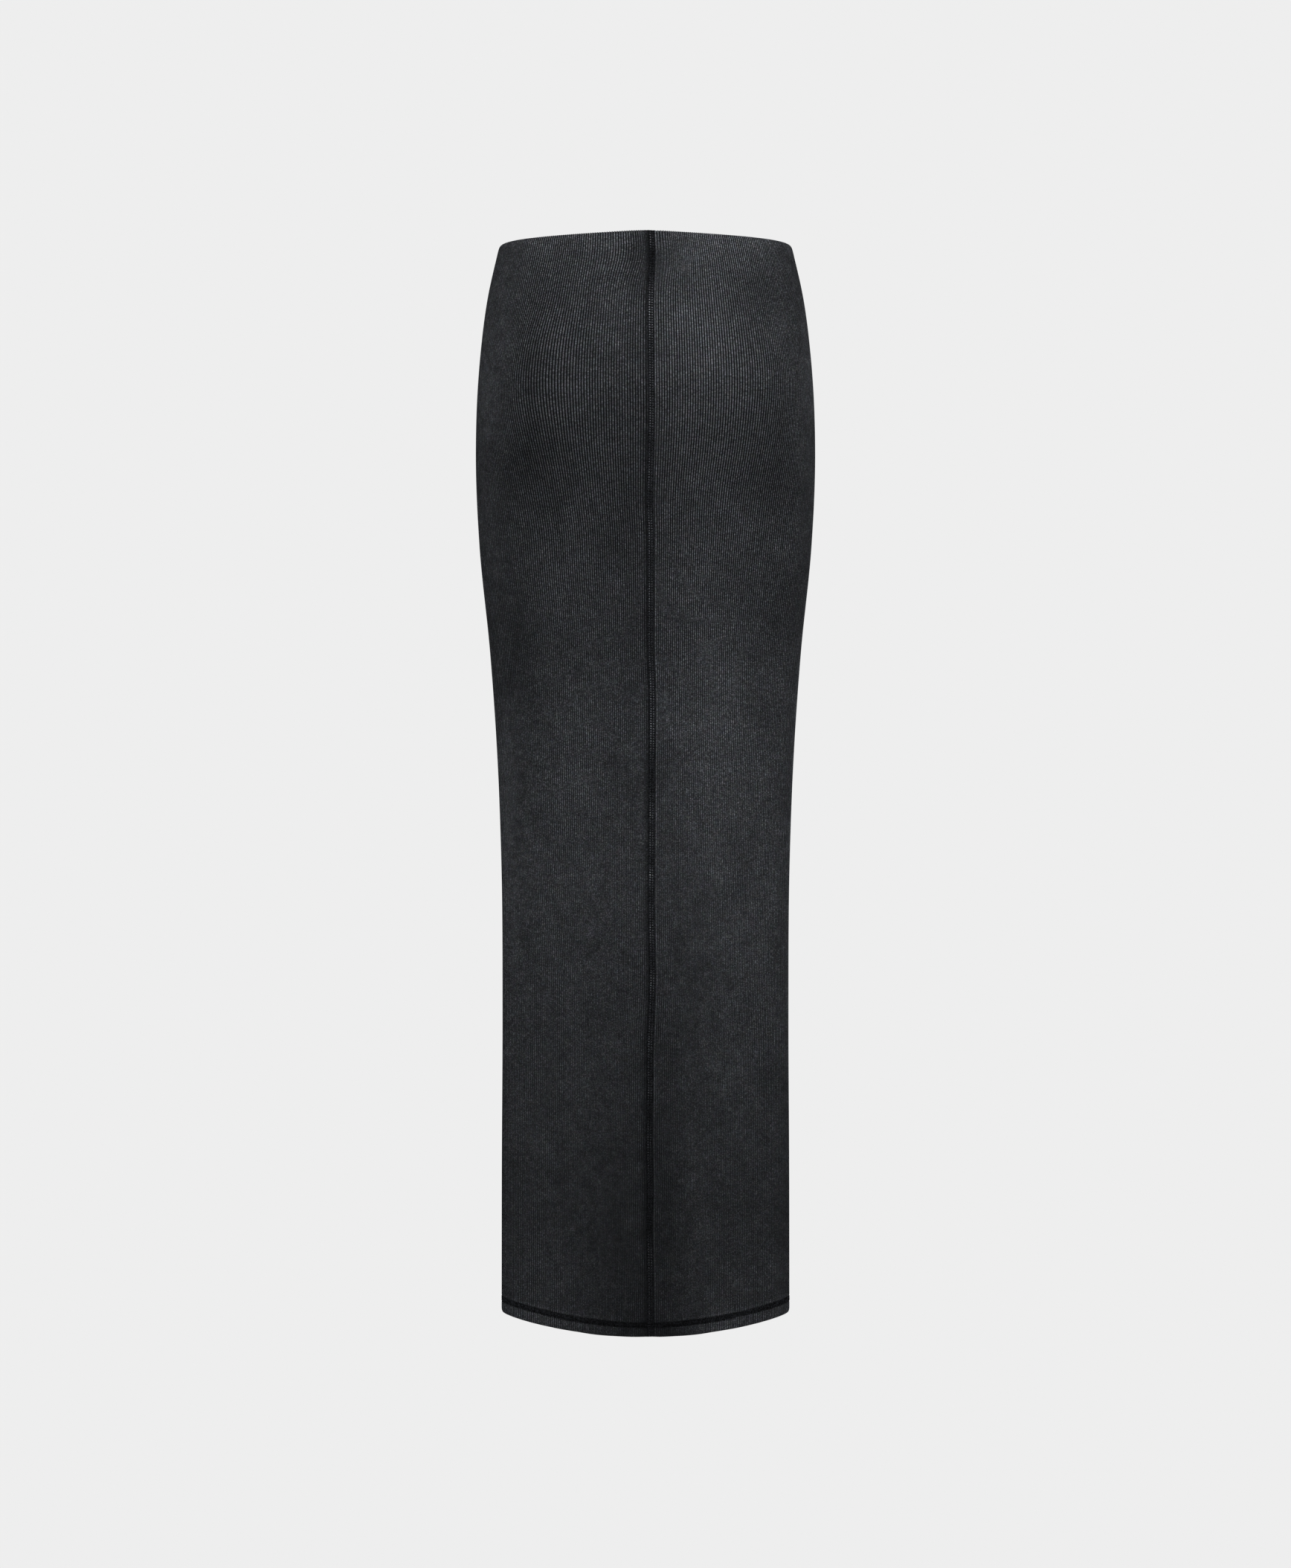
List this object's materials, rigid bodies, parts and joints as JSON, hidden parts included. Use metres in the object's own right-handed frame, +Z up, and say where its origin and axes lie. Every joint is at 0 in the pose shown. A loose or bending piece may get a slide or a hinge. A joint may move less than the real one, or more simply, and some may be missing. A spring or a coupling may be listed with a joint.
{
  "type": "maxi skirt",
  "caption": "Long narrow rib-knit skirt in washed black, an open tube that widens over the hips, with a flat seam down the centre back and a curved stitched hem.",
  "frame": {"origin": "middle of the waist opening, level with the waist edge at the centre back", "axes": "+Z up out of the waist, +X to the wearer's right, +Y towards the front, so that the centre-back seam faces -Y"},
  "size_m": [0.3242, 0.2068, 1.046],
  "materials": {
    "rib_knit": "matte washed black rib knit"
  },
  "bodies": {
    "root": {"front_panel": "rib_knit", "back_left_panel": "rib_knit", "back_right_panel": "rib_knit"}
  },
  "joints": []
}
